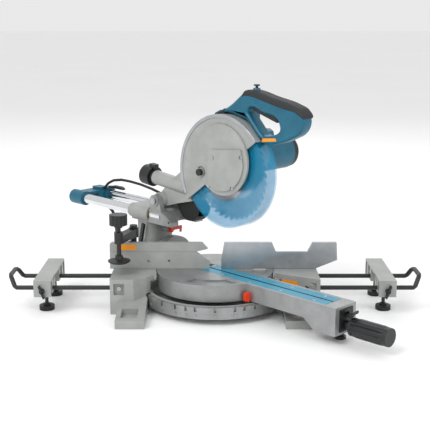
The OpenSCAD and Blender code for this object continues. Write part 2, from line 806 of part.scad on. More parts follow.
module dust_chute() {
    outline = [[-112, 218], [-96, 192], [-78, 184], [-60, 184], [-46, 196], [-40, 212], [-46, 234.5], [-90, 223.5]];
    color("#19191B") on_table() difference() {
        side_plate(-13, 25, outline);
        cross_bar(-40, 40, blade_c, case_r + gap);
        side_plate(-9, 21, [[-98, 212], [-78, 190], [-60, 190], [-30, 204], [-30, 226], [-60, 221]]);
    }
}

module dust_nozzle() {
    color("#161618") on_table() translate([-14, 182.4, 272]) rotate([-90 + 6, 0, 0]) difference() {
        union() {
            cylinder(h = 8, r = 18.5);
            translate([0, 0, 6]) cylinder(h = 30, r = 24);
            translate([-7, -30, 2]) cube([14, 14, 18]);
        }
        translate([0, 0, -1]) cylinder(h = 40, r = 15);
    }
}

module motor_housing() {
    color("#07738D") on_table() difference() {
        union() {
            cross_bar(48.2, 134, motor_c, motor_r);
            // saddle under the handle's foot
            block([50, -motor_c[0] - 20, motor_c[1] + 20], [76, -motor_c[0] + 14, 385]);
        }
        cross_bar(47, 130, motor_c, motor_r - 4);
        for (i = [0:5]) cross_bar(129, 140, motor_c + 22 * [cos(60 * i), sin(60 * i)], 4);
        cross_bar(128, 140, motor_c, 8.1);
    }
}

module motor_cap() {
    color("#26292C") on_table() difference() {
        union() {
            cross_bar(134.2, 148, motor_c, motor_r - 2);
            cross_bar(146, 153, motor_c, motor_r - 6);
        }
        cross_bar(133, 148, motor_c, motor_r - 7);
        for (i = [-2:2]) block([148.5, -motor_c[0] - 20, motor_c[1] + i * 8 - 1.5],
            [160, -motor_c[0] + 20, motor_c[1] + i * 8 + 1.5]);
    }
}

// Outer outline of the handle and its finger opening, as [s, z]
handle_outer = [[8, 430], [60, 458], [92, 486], [104, 493], [118, 495], [236, 470], [256, 460], [263, 446],
    [262, 428], [250, 412], [236, 404], [196, 388], [150, 384], [132, 392], [60, 420]];
handle_open = [[111, 455], [118, 459], [190, 441], [198, 430], [200, 418], [194, 411], [172, 402], [153, 399],
    [142, 404], [118, 430]];
trigger_s = [118, 186];
trigger_pin = [124, 465];

module handle() {
    color("#07738D") on_table() difference() {
        union() {
            side_plate(-16, 16, handle_outer);
            // foot that reaches over to the motor
            side_plate(15, 76, [[64, 385.05], [60, 398], [66, 404], [98, 406], [108, 400], [112, 385.05]]);
            side_plate(15, 32, [[64, 385.05], [56, 400], [58, 450], [92, 478], [107, 456], [107, 430], [112, 385.05]]);
        }
        side_plate(-20, 20, handle_open);
        cross_bar(-40, 22, blade_c, case_r + 0.3);
        cross_bar(15, 60, blade_c, 60);
        // trigger slot and button hole
        side_plate(-7, 7, [[trigger_s[0] - 4, 440], [trigger_s[0] - 4, 476], [trigger_s[1] + 6, 462],
            [trigger_s[1] + 6, 430]]);
        bar_z(474, 500, 0, -124, 3.05);
        cross_bar(-11.5, 11.5, trigger_pin, 1.55);
        // seat of the soft grip
        side_plate(-20, 20, [[96, 488], [100, 500], [118, 500], [240, 480], [262, 466], [272, 447], [258, 447],
            [252, 456], [232, 464], [118, 488.5], [108, 487]]);
    }
    // boss round the lock-off button
    color("#07738D") on_table() difference() {
        bar_z(484, 499, 0, -124, 8);
        bar_z(474, 500, 0, -124, 3.05);
    }
}

module soft_grip() {
    outline = [[97, 488.6], [104, 493], [118, 495], [236, 470], [256, 460], [262, 447.4], [258.2, 447.4],
        [252.2, 456.4], [232.1, 464.4], [118, 489], [108, 487.5]];
    color("#2B2E31") on_table() difference() {
        side_plate(-17, 17, outline);
        bar_z(470, 500, 0, -124, 8.2);
    }
}

module trigger() {
    color("#161618") on_table() union() {
        side_plate(-6, 6, [[trigger_s[0], 453], [trigger_s[0], 468], [trigger_s[0] + 12, 468],
            [trigger_s[1], 449], [trigger_s[1], 431], [trigger_s[1] - 10, 434], [trigger_s[0] + 14, 448]]);
        cross_bar(-11, 11, trigger_pin, 1.5);
    }
}

module lock_off_button() {
    color("#161618") on_table() {
        bar_z(480, 504, 0, -124, 3);
        bar_z(503.5, 506.5, 0, -124, 6.5);
    }
}

module shaft_lock() {
    color("#161618") on_table() {
        cross_bar(-36.5, -27, [-10, 308], 3);
        cross_bar(-43, -36.4, [-10, 308], 7.5);
    }
}

module field_core() {
    color("#7A6A5A") on_table() difference() {
        cross_bar(62, 112, motor_c, motor_r - 4.1);
        cross_bar(60, 114, motor_c, 22);
    }
}

module return_spring() {
    n = 10;
    turns = 3;
    color("#6E7073") on_table() tube([for (i = [0:turns * n]) let(a = 360 * i / n)
        [26.5 + 8.6 * i / (turns * n), -pivot_c[0] + 9.4 * cos(a), pivot_c[1] + 9.4 * sin(a)]], 1.25, 8);
}

// ---------- blade and drive ----------

// Tooth i of the blade: rake, tip and gullet points
function tooth(i) = let(a = 360 / blade_teeth * i, p = 360 / blade_teeth) [
    (blade_r - 7) * [cos(a), sin(a)],
    blade_r * [cos(a - 0.6), sin(a - 0.6)],
    (blade_r - 1.2) * [cos(a + p * 0.3), sin(a + p * 0.3)],
    (blade_r - 5.5) * [cos(a + p * 0.62), sin(a + p * 0.62)],
    (blade_r - 8) * [cos(a + p * 0.82), sin(a + p * 0.82)]];

module saw_blade() {
    color("#B9BCC0") on_table() across(-blade_t / 2, blade_t / 2, blade_c) difference() {
        polygon([for (i = [0:blade_teeth - 1]) each tooth(i)]);
        circle(r = 15);
    }
}

module blade_flanges() {
    color("#8A8C90") on_table() difference() {
        union() {
            cross_bar(blade_t / 2 + eps, 8, blade_c, 22);
            cross_bar(-7, -blade_t / 2 - eps, blade_c, 22);
        }
        cross_bar(-10, 10, blade_c, spindle_r + run);
    }
}

module spindle() {
    color("#9A9CA0") on_table() {
        cross_bar(-7.1, 40, blade_c, spindle_r);
        across(-15, -7, blade_c) circle(r = 9, $fn = 6);
    }
}

module driven_pulley() {
    color("#6E7073") on_table() difference() {
        union() {
            cross_bar(belt_x[0] - 1, belt_x[1] + 1, blade_c, driven_r);
            cross_bar(belt_x[0] - 2.5, belt_x[0] - 1, blade_c, driven_r + 3);
        }
        cross_bar(20, 40, blade_c, spindle_r + run);
        for (i = [0:5]) cross_bar(20, 40, blade_c + 15.5 * [cos(60 * i), sin(60 * i)], 3.5);
    }
}

module drive_belt() {
    slack = 0.25;
    color("#1A1A1C") on_table() difference() {
        side_plate(belt_x[0], belt_x[1], wrap(blade_c, driven_r + slack + belt_t, motor_c, drive_r + slack + belt_t));
        side_plate(belt_x[0] - 1, belt_x[1] + 1, wrap(blade_c, driven_r + slack, motor_c, drive_r + slack));
    }
}

module armature() {
    color("#9A7A50") on_table() {
        cross_bar(belt_x[0] - 1, belt_x[1] + 1, motor_c, drive_r);
        cross_bar(36, 130, motor_c, 8);
        cross_bar(62, 112, motor_c, 21.5);
        cross_bar(50, 58, motor_c, 28);
    }
}

// Clear guard under the blade, hung on the boss inside the case
module lower_guard() {
    color("#38B4D4", 0.5) on_table() difference() {
        union() {
            intersection() {
                difference() {
                    cross_bar(-22, 15, blade_c, guard_r);
                    cross_bar(-19.5, 12.5, blade_c, guard_r - 2.5);
                    cross_bar(-30, -10, blade_c, 62);
                }
                below_case() block([-60, -160, -160], [60, 160, 12]);
            }
            cross_bar(12.5, 15, blade_c, 32);
        }
        cross_bar(10, 20, blade_c, 20.06);
    }
}

base_casting();
scale_ring();
fence_left();
fence_right();
base_bolts();
turntable_bolt();
upper_fence();
clamp_post();
clamp_arm();
clamp_screw();
clamp_plate();
support_rod_left();
support_rod_right();
support_bracket_left();
support_bracket_right();
wing_screw_left();
wing_screw_right();
screw_feet_left();
screw_feet_right();
turntable();
kerf_boards();
mitre_pointer();
arm_end_plate();
mitre_grip();
detent_lever();
front_foot();
bevel_column();
slide_bushings();
bevel_stop_lever();
bevel_lock_lever();
slide_rails();
rear_holder();
front_bracket();
head_pivot_pin();
lead();
strain_relief();
power_cord();
cord_coil();
plug();
head_casting();
centre_cover();
cover_screws();
dust_chute();
dust_nozzle();
motor_housing();
motor_cap();
handle();
soft_grip();
field_core();
return_spring();
trigger();
lock_off_button();
shaft_lock();
saw_blade();
blade_flanges();
spindle();
driven_pulley();
drive_belt();
armature();
lower_guard();
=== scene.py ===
"""Looks of a slide compound mitre saw, built round its frame."""

import logging
import math
from dataclasses import dataclass, field
from enum import Enum
from typing import Any, Callable, Sequence

import bmesh
import bpy
from mathutils import Matrix, Vector


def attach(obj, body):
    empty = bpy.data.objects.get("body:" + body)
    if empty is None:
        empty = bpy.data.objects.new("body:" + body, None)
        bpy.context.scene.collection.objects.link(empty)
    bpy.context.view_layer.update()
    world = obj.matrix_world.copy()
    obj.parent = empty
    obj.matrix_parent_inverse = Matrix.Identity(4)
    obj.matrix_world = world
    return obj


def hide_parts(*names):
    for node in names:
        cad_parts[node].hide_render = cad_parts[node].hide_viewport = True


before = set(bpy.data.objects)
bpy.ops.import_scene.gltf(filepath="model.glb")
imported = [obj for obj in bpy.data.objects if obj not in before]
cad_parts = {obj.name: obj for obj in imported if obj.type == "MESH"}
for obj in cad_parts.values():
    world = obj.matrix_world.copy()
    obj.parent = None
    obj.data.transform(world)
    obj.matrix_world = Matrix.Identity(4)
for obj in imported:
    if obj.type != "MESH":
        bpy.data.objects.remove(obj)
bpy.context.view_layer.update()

log = logging.getLogger("saw")
MM = 0.001
MITRE = math.radians(45)
EDGE_STEPS = 3
CURVE_STEPS = 6
SHARP = math.radians(40)
TURNED_SHARP = math.radians(50)
FILM = 0.15
Pair = tuple[float, float]
Triple = tuple[float, float, float]


# ---------- places ----------


def on_arm(across: float, forward: float, up: float) -> Vector:
    """Place in metres of a point given along the saw arm's own directions.

    Args:
        across: Distance to the right of the arm, in millimetres.
        forward: Distance in front of the mitre axis, in millimetres.
        up: Height above the bench, in millimetres.

    Returns:
        The point in the frame's axes.
    """
    x, y = across, -forward
    c, s = math.cos(MITRE), math.sin(MITRE)
    return Vector((x * c - y * s, x * s + y * c, up)) * MM


def side_frame(across: float) -> Matrix:
    """Matrix that stands a [forward, up] drawing on the arm's side plane.

    Args:
        across: Where the plane stands, in millimetres right of the arm's middle.

    Returns:
        A matrix whose local Z points to the right of the arm.
    """
    forward = on_arm(0, 1, 0) / MM
    right = on_arm(1, 0, 0) / MM
    turn = Matrix((forward, Vector((0, 0, 1)), -right)).transposed().to_4x4()
    return Matrix.Translation(on_arm(across, 0, 0)) @ turn


# ---------- colour and materials ----------


def linear(code: str) -> tuple[float, float, float, float]:
    """Linear colour of an sRGB hex code.

    Args:
        code: Six hex digits after a hash.

    Returns:
        Red, green, blue and alpha, each from 0 to 1.
    """
    parts = [int(code[i : i + 2], 16) / 255 for i in (1, 3, 5)]
    r, g, b = (p / 12.92 if p <= 0.04045 else ((p + 0.055) / 1.055) ** 2.4 for p in parts)
    return (r, g, b, 1.0)


def add_node(
    tree: bpy.types.NodeTree, kind: str, settings: dict[str, Any], inputs: dict[Any, Any]
) -> bpy.types.Node:
    """Adds a node with its settings, values and links.

    Args:
        tree: Tree that gets the node.
        kind: Blender's name of the node type.
        settings: Attributes of the node.
        inputs: Socket name or index to a value, or to an output socket that feeds it.

    Returns:
        The new node.
    """
    node = tree.nodes.new(kind)
    for key, value in settings.items():
        setattr(node, key, value)
    for key, value in inputs.items():
        if isinstance(value, bpy.types.NodeSocket):
            tree.links.new(value, node.inputs[key])
        else:
            node.inputs[key].default_value = value
    return node


class Surface(Enum):
    """How a surface was made, which sets the pattern it shows."""

    CAST = "cast"
    MOULDED = "moulded"
    BRUSHED = "brushed"
    TURNED = "turned"
    POLISHED = "polished"


@dataclass(frozen=True)
class Finish:
    """A material with the grain that its making leaves.

    Sizes are in millimetres.
    """

    name: str
    colour: str
    shade: str
    surface: Surface
    roughness: float
    grain_mm: float
    relief_mm: float
    metallic: float = 0.0
    ior: float = 1.5
    coat: float = 0.0
    transmission: float = 0.0
    alpha: float = 1.0

    def build(self) -> bpy.types.Material:
        """Makes the material, or returns it if it is there already.

        Returns:
            A node-based material.
        """
        made = bpy.data.materials.get(self.name)
        if made:
            return made
        made = bpy.data.materials.new(self.name)
        made.use_nodes = True
        tree = made.node_tree
        tree.nodes.clear()
        place = add_node(tree, "ShaderNodeTexCoord", {}, {}).outputs["Object"]
        along = {
            Surface.BRUSHED: (1.0, 0.06, 1.0),
            Surface.TURNED: (0.12, 1.0, 1.0),
        }.get(self.surface, (1.0, 1.0, 1.0))
        grain_at = add_node(
            tree,
            "ShaderNodeMapping",
            {},
            {"Vector": place, "Rotation": (0, 0, MITRE), "Scale": along},
        ).outputs[0]
        per_metre = 1.0 / (self.grain_mm * MM)
        grain = add_node(
            tree,
            "ShaderNodeTexNoise",
            {},
            {"Vector": grain_at, "Scale": per_metre, "Detail": 4.0, "Roughness": 0.6},
        ).outputs["Fac"]
        cloud = add_node(
            tree, "ShaderNodeTexNoise", {}, {"Vector": place, "Scale": per_metre * 0.04, "Detail": 3.0}
        ).outputs["Fac"]
        mixed = add_node(tree, "ShaderNodeMath", {"operation": "MULTIPLY"}, {0: grain, 1: cloud}).outputs[0]
        spread = add_node(
            tree, "ShaderNodeMapRange", {}, {"Value": mixed, "From Min": 0.12, "From Max": 0.4}
        ).outputs["Result"]
        tint = add_node(
            tree,
            "ShaderNodeMix",
            {"data_type": "RGBA"},
            {0: spread, 6: linear(self.shade), 7: linear(self.colour)},
        ).outputs[2]
        rough = add_node(
            tree,
            "ShaderNodeMapRange",
            {},
            {"Value": cloud, "To Min": self.roughness * 0.85, "To Max": min(1.0, self.roughness * 1.2)},
        ).outputs["Result"]
        bump = add_node(
            tree, "ShaderNodeBump", {}, {"Height": grain, "Distance": self.relief_mm * MM, "Strength": 0.6}
        ).outputs[0]
        shader = add_node(
            tree,
            "ShaderNodeBsdfPrincipled",
            {},
            {
                "Base Color": tint,
                "Roughness": rough,
                "Normal": bump,
                "Metallic": self.metallic,
                "IOR": self.ior,
                "Coat Weight": self.coat,
                "Transmission Weight": self.transmission,
                "Alpha": self.alpha,
            },
        )
        add_node(tree, "ShaderNodeOutputMaterial", {}, {"Surface": shader.outputs[0]})
        return made


# Die-cast aluminium under grey enamel: a fine orange peel that softens the highlights
ENAMELLED_CASTING = Finish(
    "enamelled_casting", "#A3A5A2", "#909290", Surface.CAST, 0.42, 1.4, 0.05, coat=0.15
)
# Die-cast aluminium, machined and left bare: satin, with a faint directional grain
MACHINED_CASTING = Finish(
    "machined_casting", "#A6A8A8", "#8F9191", Surface.BRUSHED, 0.4, 1.2, 0.03, metallic=0.6
)
# Extruded aluminium fence: bright, lightly brushed along its length
BARE_EXTRUSION = Finish(
    "bare_extrusion", "#B9BDC0", "#A5A9AD", Surface.BRUSHED, 0.3, 1.0, 0.02, metallic=0.9
)
# Turned carbon steel: fine rings round the axis
TURNED_STEEL = Finish(
    "turned_steel", "#B9BBBE", "#9EA0A4", Surface.TURNED, 0.28, 0.8, 0.02, metallic=1.0
)
# Hard chrome on ground tube: near mirror
HARD_CHROME = Finish(
    "hard_chrome", "#E6E8EA", "#D8DADD", Surface.POLISHED, 0.08, 3.0, 0.004, metallic=1.0
)
# Ground saw steel: satin disc
GROUND_STEEL = Finish(
    "ground_steel", "#C4C7CB", "#A9ACB1", Surface.BRUSHED, 0.25, 0.9, 0.02, metallic=1.0
)
# Glass-filled nylon, moulded in teal: low sheen with a fine spark texture
TEAL_NYLON = Finish("teal_nylon", "#00647E", "#00546C", Surface.MOULDED, 0.36, 0.9, 0.03)
# Moulded blue kerf strip: smooth, slightly glossy
BLUE_STRIP = Finish("blue_strip", "#1F93B2", "#1682A0", Surface.MOULDED, 0.3, 1.2, 0.01)
# Glass-filled nylon in black: satin
BLACK_NYLON = Finish("black_nylon", "#1E1F22", "#141517", Surface.MOULDED, 0.42, 0.9, 0.03)
# Steel with a black powder coat: slightly pebbled
BLACK_POWDER = Finish("black_powder_coat", "#1B1C1E", "#121314", Surface.CAST, 0.45, 1.1, 0.04, coat=0.1)
# Orange-red enamel on pressed steel
RED_ENAMEL = Finish("red_enamel", "#E8481F", "#DC3D17", Surface.MOULDED, 0.3, 1.6, 0.01, coat=0.3)
# Printed label film without print: flat orange
LABEL_FILM = Finish("label_film", "#F29A1E", "#EC9016", Surface.MOULDED, 0.35, 2.0, 0.002)
# Sintered bronze bushing
SINTERED_BRONZE = Finish(
    "sintered_bronze", "#B8955A", "#9A7A45", Surface.CAST, 0.4, 0.9, 0.03, metallic=0.9
)
# Thermoplastic rubber overmould: matt, finely pebbled
OVERMOULD = Finish("rubber_overmould", "#2B2E31", "#202225", Surface.CAST, 0.68, 1.0, 0.08)
# Black rubber of cord and chute: matt
RUBBER = Finish("black_rubber", "#191A1C", "#101112", Surface.MOULDED, 0.58, 1.2, 0.03)
# Laminated core steel
CORE_STEEL = Finish(
    "core_laminations", "#8A7A66", "#6E604E", Surface.BRUSHED, 0.4, 1.0, 0.03, metallic=0.6
)
# Tinted polycarbonate of the guard: clear cyan, glossy
CLEAR_GUARD = Finish(
    "tinted_polycarbonate", "#12A5D2", "#0E98C6", Surface.POLISHED, 0.06, 6.0, 0.001,
    ior=1.585, alpha=0.3,
)


# ---------- mesh helpers ----------


def keep(mesh: bpy.types.Mesh, name: str, finish: Finish, body: str) -> bpy.types.Object:
    """Links a mesh as a finished piece that rides on a body.

    Args:
        mesh: Mesh in the frame's axes.
        name: Name of the piece.
        finish: Its material.
        body: CAD body that it rides on.

    Returns:
        The new object.
    """
    piece = bpy.data.objects.new(name, mesh)
    bpy.context.scene.collection.objects.link(piece)
    mesh.materials.clear()
    mesh.materials.append(finish.build())
    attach(piece, body)
    log.info("%s rides on %s", name, body)
    return piece


def rounded_plate(
    outlines: Sequence[Sequence[Pair]], thick: float, edge: float, place: Matrix, smooth: bool = True
) -> bpy.types.Mesh:
    """Mesh of a plate with rounded edges and openings.

    Args:
        outlines: The outer outline and then its openings, in millimetres.
        thick: Whole thickness, in millimetres.
        edge: Radius of the rounded edges, in millimetres.
        place: Matrix from the drawing's plane to the frame.
        smooth: Whether the outline is one flowing curve.

    Returns:
        The mesh in the frame's axes.
    """
    curve = bpy.data.curves.new("outline", "CURVE")
    curve.dimensions = "2D"
    curve.fill_mode = "BOTH"
    curve.extrude = (thick / 2 - edge) * MM
    curve.bevel_depth = edge * MM
    curve.bevel_resolution = EDGE_STEPS
    curve.offset = -edge * MM
    for outline in outlines:
        spline = curve.splines.new("BEZIER" if smooth else "POLY")
        points = spline.bezier_points if smooth else spline.points
        points.add(len(outline) - 1)
        for point, (u, v) in zip(points, outline):
            if smooth:
                point.co = (u * MM, v * MM, 0)
                point.handle_left_type = point.handle_right_type = "AUTO"
            else:
                point.co = (u * MM, v * MM, 0, 1)
        spline.use_cyclic_u = True
        spline.resolution_u = CURVE_STEPS
    return from_curve(curve, place)


def from_curve(curve: bpy.types.Curve, place: Matrix) -> bpy.types.Mesh:
    """Turns a curve into a mesh in the frame's axes and drops the curve.

    Args:
        curve: Curve to turn.
        place: Matrix that moves it into place.

    Returns:
        The mesh.
    """
    holder = bpy.data.objects.new("holder", curve)
    bpy.context.scene.collection.objects.link(holder)
    graph = bpy.context.evaluated_depsgraph_get()
    mesh = bpy.data.meshes.new_from_object(holder.evaluated_get(graph))
    bpy.data.objects.remove(holder)
    mesh.transform(place)
    mesh.shade_smooth()
    mesh.set_sharp_from_angle(angle=SHARP)
    return mesh


def round_wall(angle: float, height: float) -> float:
    """Wall factor of a plain round piece."""
    return 1.0


def turned(
    profile: Sequence[Pair],
    place: Matrix,
    wave: Callable[[float, float], float] = round_wall,
    steps: int = 72,
) -> bpy.types.Mesh:
    """Mesh of a profile turned about local Z.

    Args:
        profile: Pairs of height and radius, in millimetres.
        place: Matrix that moves it into place.
        wave: Factor on the radius for an angle and a height.
        steps: Points round the axis.

    Returns:
        The closed mesh in the frame's axes.
    """
    bm = bmesh.new()
    rings = []
    for height, radius in profile:
        ring = []
        for i in range(steps):
            angle = 2 * math.pi * i / steps
            r = radius * wave(angle, height)
            ring.append(bm.verts.new((r * math.cos(angle) * MM, r * math.sin(angle) * MM, height * MM)))
        rings.append(ring)
    for low, high in zip(rings, rings[1:]):
        for i in range(steps):
            j = (i + 1) % steps
            bm.faces.new((low[i], low[j], high[j], high[i]))
    bm.faces.new(list(reversed(rings[0])))
    bm.faces.new(rings[-1])
    mesh = bpy.data.meshes.new("turned")
    bm.to_mesh(mesh)
    bm.free()
    mesh.transform(place)
    mesh.shade_smooth()
    mesh.set_sharp_from_angle(angle=TURNED_SHARP)
    return mesh


def cut(mesh: bpy.types.Mesh, tool: bpy.types.Mesh) -> bpy.types.Mesh:
    """Cuts one mesh out of another.

    Args:
        mesh: Mesh that is cut.
        tool: Mesh that is taken away.

    Returns:
        What is left.
    """
    pair = [bpy.data.objects.new("cut", m) for m in (mesh, tool)]
    for one in pair:
        bpy.context.scene.collection.objects.link(one)
    step = pair[0].modifiers.new("cut", "BOOLEAN")
    step.operation, step.solver, step.object = "DIFFERENCE", "EXACT", pair[1]
    graph = bpy.context.evaluated_depsgraph_get()
    left = bpy.data.meshes.new_from_object(pair[0].evaluated_get(graph))
    for one in pair:
        bpy.data.objects.remove(one)
    return left


def merged(meshes: Sequence[bpy.types.Mesh], name: str) -> bpy.types.Mesh:
    """Joins meshes into one.

    Args:
        meshes: Meshes in the frame's axes.
        name: Name of the result.

    Returns:
        The joined mesh.
    """
    bm = bmesh.new()
    for mesh in meshes:
        bm.from_mesh(mesh)
    out = bpy.data.meshes.new(name)
    bm.to_mesh(out)
    bm.free()
    out.set_sharp_from_angle(angle=SHARP)
    return out


def upright(point: Vector, normal: Vector) -> Matrix:
    """Matrix whose local Z is a normal and whose origin is a point.

    Args:
        point: Origin, in metres.
        normal: Direction of local Z.

    Returns:
        The matrix.
    """
    return Matrix.Translation(point) @ normal.to_track_quat("Z", "Y").to_matrix().to_4x4()


def dress(finishes: dict[str, Finish]) -> None:
    """Gives CAD nodes their finishes.

    Args:
        finishes: Node name to finish.
    """
    for node, finish in finishes.items():
        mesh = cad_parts[node].data
        mesh.materials.clear()
        mesh.materials.append(finish.build())
        log.info("%s is finished in %s", node, finish.name)


# ---------- sub-assemblies ----------


@dataclass
class Cable:
    """Mains lead: relief, free run, coil and plug. Sizes in millimetres."""

    diameter: float = 8.0
    length: float = 2500.0
    coil_centre: Pair = (-180.0, 330.0)
    radii: tuple[float, float, float] = (52.0, 44.0, 36.0)
    turns: float = 8.082
    layers: tuple[float, float, float] = (4.2, 12.2, 20.2)
    crossing: float = 0.16
    entry_angle: float = 119.6
    plug_rise: float = 15.1
    rise_turns: float = 0.75
    route: tuple[Triple, ...] = (
        (-276, 328, 153), (-270, 332.5, 143), (-266, 337.5, 132), (-263.5, 342, 119),
        (-262.4, 345, 104), (-262, 346, 88), (-262, 346, 64), (-262, 346, 42.2),
        (-260.3, 346.8, 30.5), (-255.5, 349.2, 19.9), (-247.9, 352.8, 11.5),
        (-238.3, 357.5, 6.1), (-227.8, 362.6, 4.2), (-214, 370.4, 4.2),
    )

    def coil(self, steps: int = 36) -> list[Vector]:
        """Points of the wound part, layer on layer.

        Args:
            steps: Points in each turn.

        Returns:
            Points in millimetres.
        """
        order = [*self.radii, *reversed(self.radii), *self.radii]
        heights = [height for height in self.layers for _ in self.radii]
        last = len(order) - 1
        points = []
        for i in range(int(self.turns * steps) + 1):
            t = i / steps
            turn = min(int(t), last)
            late = max(0.0, (t - turn - (1 - self.crossing)) / self.crossing)
            share = late * late * (3 - 2 * late)
            after = min(turn + 1, last)
            radius = order[turn] + (order[after] - order[turn]) * share
            height = heights[turn] + (heights[after] - heights[turn]) * share
            near_end = max(0.0, 1 - (self.turns - t) / self.rise_turns)
            height += self.plug_rise * near_end * near_end * (3 - 2 * near_end)
            angle = math.radians(self.entry_angle) - 2 * math.pi * t
            x, y = self.coil_centre
            points.append(Vector((x + radius * math.cos(angle), y + radius * math.sin(angle), height)))
        return points

    def build(self) -> None:
        """Makes the lead and dresses its CAD pieces."""
        points = [Vector(p) for p in self.route] + self.coil()
        curve = bpy.data.curves.new("power_lead", "CURVE")
        curve.dimensions = "3D"
        curve.bevel_depth = self.diameter / 2 * MM
        curve.bevel_resolution = EDGE_STEPS
        curve.use_fill_caps = True
        spline = curve.splines.new("POLY")
        spline.points.add(len(points) - 1)
        for place, point in zip(spline.points, points):
            place.co = (*(point * MM), 1)
        curve.materials.append(RUBBER.build())
        lead = bpy.data.objects.new("power_lead", curve)
        bpy.context.scene.collection.objects.link(lead)
        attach(lead, "carriage")
        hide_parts("power_cord", "cord_coil")
        dress({"strain_relief": RUBBER, "plug": BLACK_NYLON, "lead": RUBBER})
        log.info("cable done")


@dataclass
class Base:
    """Cast base with its scale, labels and bolts."""

    tick_step: int = 5
    scale_radius: float = 163.0
    scale_top: float = 40.0
    widest_mark: int = 55
    mark_half: float = 0.35
    label_size: Pair = (40.0, 18.0)
    fence_label_size: Pair = (46.0, 13.0)
    label_corner: float = 1.5

    def ticks(self) -> bpy.types.Mesh:
        """Degree marks on the scale ring.

        Returns:
            One mesh with every mark.
        """
        marks = []
        w = self.mark_half
        for degree in range(-self.widest_mark, self.widest_mark + 1, self.tick_step):
            long = 5.5 if degree % 15 == 0 else 3.5
            angle = math.radians(degree)
            out = Vector((math.sin(angle), -math.cos(angle), 0))
            middle = out * (self.scale_radius - long / 2) * MM + Vector((0, 0, (self.scale_top + 0.1) * MM))
            place = Matrix.Translation(middle) @ Matrix.Rotation(angle, 4, "Z")
            outline = [(-w, -long / 2), (w, -long / 2), (w, long / 2), (-w, long / 2)]
            marks.append(rounded_plate([outline], 0.3, 0.05, place, False))
        return merged(marks, "degree_marks")

    def build(self) -> None:
        """Dresses the base and adds its marks and label."""
        dress(
            {
                "base_casting": ENAMELLED_CASTING,
                "scale_ring": MACHINED_CASTING,
                "fence_left": ENAMELLED_CASTING,
                "upper_fence": ENAMELLED_CASTING,
                "fence_right": BARE_EXTRUSION,
                "base_bolts": TURNED_STEEL,
                "turntable_bolt": TURNED_STEEL,
            }
        )
        keep(self.ticks(), "degree_marks", BLACK_NYLON, "base")
        front = Vector((-31, -54, 0)).normalized()
        self.label("base_label", Vector((167, -52.9, 59.5)), front, self.label_size, "base")
        ahead = Vector((0, -1, 0))
        self.label("fence_label", Vector((-202, -0.25, 131)), ahead, self.fence_label_size, "upper_fence")
        log.info("base done")

    def label(self, name: str, centre: Vector, normal: Vector, size: Pair, body: str) -> None:
        """Adds a blank label film.

        Args:
            name: Name of the piece.
            centre: Its middle, in millimetres.
            normal: Direction that it faces.
            size: Width and height, in millimetres.
            body: Body that it rides on.
        """
        right = Vector((0, 0, 1)).cross(normal).normalized()
        turn = Matrix((right, Vector((0, 0, 1)), normal)).transposed().to_4x4()
        place = Matrix.Translation((centre + normal * FILM) * MM) @ turn
        w, h, c = size[0] / 2, size[1] / 2, self.label_corner
        right_side = [(w - c, -h), (w, -h + c), (w, h - c), (w - c, h)]
        left_side = [(-w + c, h), (-w, h - c), (-w, -h + c)]
        corners = [(-w + c, -h), *right_side, *left_side]
        keep(rounded_plate([corners], 0.4, 0.1, place, False), name, LABEL_FILM, body)


@dataclass
class Clamp:
    """Hold-down clamp on its post."""

    coated: tuple[str, ...] = ("clamp_post", "clamp_arm", "clamp_screw")
    moulded: tuple[str, ...] = ("clamp_plate",)

    def build(self) -> None:
        """Dresses the clamp."""
        dress({node: BLACK_POWDER for node in self.coated})
        dress({node: BLACK_NYLON for node in self.moulded})
        log.info("clamp done")


@dataclass
class Supports:
    """Rod-and-bracket work support on each side."""

    sides: tuple[str, ...] = ("left", "right")

    def build(self) -> None:
        """Dresses both supports."""
        for side in self.sides:
            dress(
                {
                    f"support_rod_{side}": BLACK_POWDER,
                    f"wing_screw_{side}": BLACK_NYLON,
                    f"screw_feet_{side}": BLACK_NYLON,
                    f"support_bracket_{side}": ENAMELLED_CASTING,
                }
            )
        log.info("supports done")


